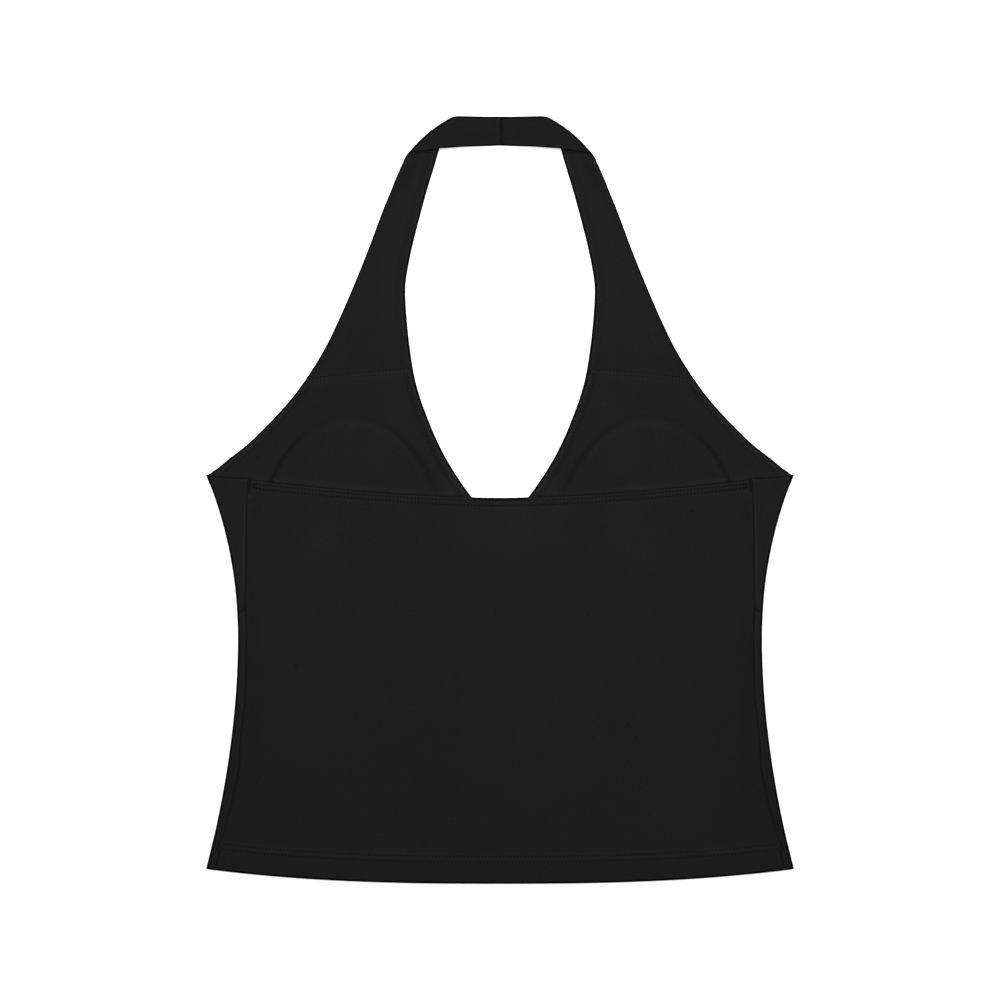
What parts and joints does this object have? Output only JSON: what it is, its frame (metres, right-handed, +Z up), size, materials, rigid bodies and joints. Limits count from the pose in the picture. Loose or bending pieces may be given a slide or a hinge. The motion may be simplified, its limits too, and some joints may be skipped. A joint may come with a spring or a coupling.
{
  "type": "halter neck top, laid flat",
  "caption": "Cropped halter neck top of black stretch knit with a lined, padded bust and a folded-over neck band, laid flat on its front.",
  "frame": {"origin": "on the surface the top lies on, under the middle of the whole garment", "axes": "+Z up from that surface, +Y from the hem towards the neck, +X to the right as seen from above with the neck away; the back of the garment faces +Z"},
  "size_m": [0.4002, 0.5216, 0.0067],
  "materials": {
    "black_knit": "matt fine-gauge stretch jersey, black",
    "black_lining": "the same jersey as a lining, black, a little smoother",
    "cup_foam": "thin moulded foam pad with a black knit face",
    "black_thread": "black polyester sewing thread"
  },
  "bodies": {
    "root": {"front_bust": "black_knit", "front_body": "black_knit", "back_panel": "black_knit", "bust_lining": "black_lining", "strap_facing_left": "black_lining", "strap_facing_right": "black_lining", "cup_left": "cup_foam", "cup_right": "cup_foam"}
  },
  "joints": []
}
